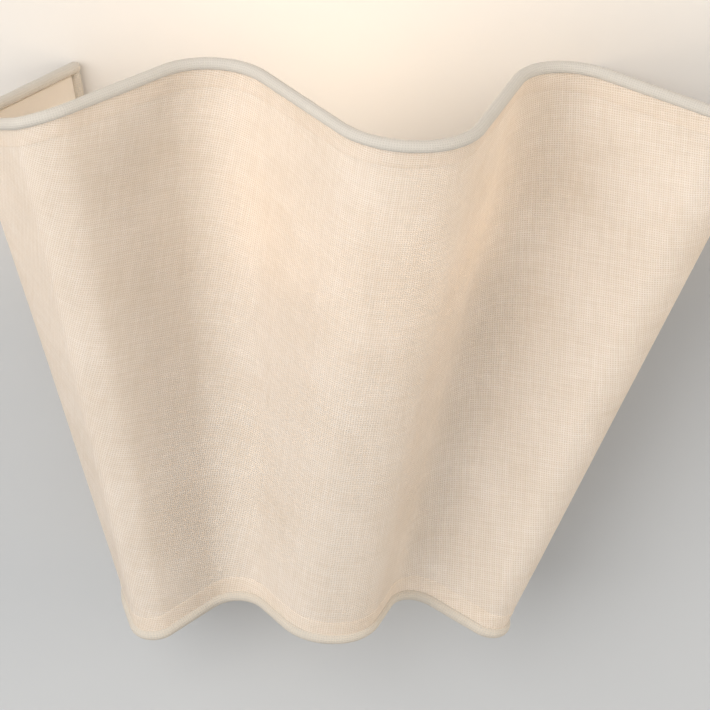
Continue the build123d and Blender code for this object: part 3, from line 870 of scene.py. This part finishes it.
class WALLLIGHT_OT_bulb(bpy.types.Operator):
    """Small lit globe bulb"""

    bl_idname = "walllight.bulb"
    bl_label = "Bulb"

    def execute(self, context):
        lamp = context.scene.walllight_lamp
        dress(lit_globe("lit opal globe", lamp), "bulb_globe")
        # moulded polycarbonate: white, smooth and softly shiny
        housing = moulded(
            "white bulb housing", "#F0EFEC", "#E8E6E1", roughness=0.28, grain=500, bump_mm=0.02
        )
        dress(housing, "bulb_collar")
        # fused black glass: very dark, with a sharp shine
        glass = moulded(
            "black glass", "#17171A", "#0F0F11", roughness=0.15, grain=300, bump_mm=0.02
        )
        dress(glass, "bulb_insulator")
        # aluminium board under white solder mask: flat white with a fine grain
        board = moulded(
            "white lamp board", "#F2F2EE", "#E6E6E0", roughness=0.4, grain=900, bump_mm=0.02
        )
        dress(board, "bulb_board")
        return {"FINISHED"}


class WALLLIGHT_OT_studio(bpy.types.Operator):
    """Pale wall and floor, soft lamps, surroundings and camera"""

    bl_idname = "walllight.studio"
    bl_label = "Studio"

    def execute(self, context):
        studio = context.scene.walllight_studio
        # emulsion on plaster: matt, with a faint roller texture; it is painted paler above the
        # lamp, painted light that stands in for the lamp's glow on the wall
        paint = new_finish("matt wall paint")
        place = add(paint, "ShaderNodeTexCoord").outputs["Object"]
        roller = add(paint, "ShaderNodeTexNoise", Vector=place, Scale=220.0, Detail=3.0).outputs[0]
        bump = add(
            paint, "ShaderNodeBump", Strength=0.08, Distance=0.0003, Height=roller
        ).outputs[0]
        height = add(paint, "ShaderNodeSeparateXYZ", Vector=place).outputs["Z"]
        painted_light_rise = add(
            paint, "ShaderNodeMapRange", {"interpolation_type": "SMOOTHSTEP"}, Value=height,
            From_Min=PAINTED_LIGHT_FROM, From_Max=PAINTED_LIGHT_TO,
        ).outputs[0]
        tone = add(
            paint, "ShaderNodeMix", {"data_type": "RGBA"}, i0=painted_light_rise,
            i6=opaque(studio.wall_paint), i7=opaque(studio.wall_painted_lamplight),
        ).outputs[2]
        skin = add(
            paint, "ShaderNodeBsdfPrincipled", Base_Color=tone, Roughness=0.95, Normal=bump
        )
        skin.inputs["Specular IOR Level"].default_value = 0.1
        one_layer(paint, skin)
        half = studio.wall_width / 2
        # the wall spreads from a round opening behind the back plate, where the cable comes out
        bpy.ops.mesh.primitive_circle_add(
            vertices=OPENING_SIDES, radius=studio.opening_radius, location=(0, WALL_BEHIND, 0),
            rotation=(math.pi / 2, 0, 0),
        )
        wall = context.object
        wall.name = "wall"
        bpy.ops.object.transform_apply(location=True, rotation=True, scale=True)
        bpy.ops.object.mode_set(mode="EDIT")
        bpy.ops.mesh.select_all(action="SELECT")
        bpy.ops.mesh.extrude_edges_move()
        wider = half / studio.opening_radius
        bpy.ops.transform.resize(value=(wider, 1, wider))
        bpy.ops.object.mode_set(mode="OBJECT")
        if wall.data.polygons[0].normal.y > 0:
            wall.data.flip_normals()
        bpy.ops.mesh.primitive_plane_add(
            size=studio.wall_width, location=(0, WALL_BEHIND - half, -studio.floor_depth)
        )
        floor = context.object
        floor.name = "floor"
        bpy.ops.object.transform_apply(location=True, rotation=True, scale=True)
        for slab in (wall, floor):
            slab.data.materials.append(paint)

        for name, power, place, width, tint in (
            ("key", studio.key_power, studio.key_place, studio.key_size, KEY_TINT),
            ("fill", studio.fill_power, studio.fill_place, studio.fill_size, FILL_TINT),
        ):
            light = bpy.data.lights.new(name, "AREA")
            light.energy, light.size, light.color = power, width, tint
            lamp = bpy.data.objects.new(name, light)
            context.scene.collection.objects.link(lamp)
            lamp.location = place
            lamp.rotation_euler = (
                Vector((0, -0.05, 0)) - lamp.location
            ).to_track_quat("-Z", "Y").to_euler()

        world = bpy.data.worlds.new("studio")
        context.scene.world = world
        world.use_nodes = True
        world.node_tree.nodes.clear()
        path = add(world, "ShaderNodeLightPath")
        seen = path.outputs["Is Camera Ray"]
        for ray in ("Is Glossy Ray", "Is Transmission Ray"):
            seen = add(
                world, "ShaderNodeMath", {"operation": "MAXIMUM"}, i0=seen, i1=path.outputs[ray]
            ).outputs[0]
        round_light = add(
            world, "ShaderNodeBackground", Color=opaque(studio.sky), Strength=studio.sky_strength
        )
        pale = add(world, "ShaderNodeBackground", Color=opaque(linear(SURROUNDINGS)), Strength=1.0)
        both = add(
            world, "ShaderNodeMixShader", i0=seen, i1=round_light.outputs[0], i2=pale.outputs[0]
        )
        add(world, "ShaderNodeOutputWorld", Surface=both.outputs[0])

        camera = bpy.data.objects.new("camera", bpy.data.cameras.new("camera"))
        context.scene.collection.objects.link(camera)
        camera.data.lens = studio.lens
        camera.data.sensor_width = 36.0
        camera.data.clip_start, camera.data.clip_end = 0.1, 50
        back = (Vector(studio.camera_place) - Vector(studio.camera_aim)).normalized()
        level = Vector((0, 0, 1)).cross(back).normalized()
        up = back.cross(level)
        turn = studio.camera_roll
        right = level * math.cos(turn) + up * math.sin(turn)
        over = up * math.cos(turn) - level * math.sin(turn)
        camera.matrix_world = Matrix.Translation(studio.camera_place) @ Matrix(
            (right, over, back)
        ).transposed().to_4x4()
        context.scene.camera = camera
        context.scene.view_settings.view_transform = "Standard"
        return {"FINISHED"}


class WALLLIGHT_PT_panel(bpy.types.Panel):
    """Lists the wall light's steps, sizes and colours"""

    bl_label = "Wall Light"
    bl_idname = "WALLLIGHT_PT_panel"
    bl_space_type = "VIEW_3D"
    bl_region_type = "UI"
    bl_category = "Wall Light"

    def draw(self, context):
        for step in STEPS:
            self.layout.operator(step.bl_idname)
        for name in GROUPS:
            group = getattr(context.scene, name)
            box = self.layout.box()
            box.label(text=name.replace("walllight_", "").capitalize())
            for setting in group.__annotations__:
                box.prop(group, setting)


STEPS = (
    WALLLIGHT_OT_shade_hems,
    WALLLIGHT_OT_rolled_edges,
    WALLLIGHT_OT_shade_cover,
    WALLLIGHT_OT_shade_frame,
    WALLLIGHT_OT_wall_plate,
    WALLLIGHT_OT_screw_cap,
    WALLLIGHT_OT_bulb,
    WALLLIGHT_OT_studio,
)
GROUPS = {
    "walllight_shade": ShadeSizes,
    "walllight_linen": LinenLook,
    "walllight_lamp": LampLook,
    "walllight_studio": StudioSizes,
}


def register():
    for group in (*GROUPS.values(), *STEPS, WALLLIGHT_PT_panel):
        bpy.utils.register_class(group)
    for name, group in GROUPS.items():
        setattr(bpy.types.Scene, name, PointerProperty(type=group))


def unregister():
    for name in GROUPS:
        delattr(bpy.types.Scene, name)
    for group in (WALLLIGHT_PT_panel, *reversed(STEPS), *reversed(GROUPS.values())):
        bpy.utils.unregister_class(group)


def main():
    """Builds the whole scene."""
    register()
    bpy.ops.walllight.shade_hems()
    bpy.ops.walllight.rolled_edges()
    bpy.ops.walllight.shade_cover()
    bpy.ops.walllight.shade_frame()
    bpy.ops.walllight.wall_plate()
    bpy.ops.walllight.screw_cap()
    bpy.ops.walllight.bulb()
    bpy.ops.walllight.studio()


if __name__ == "__main__":
    main()
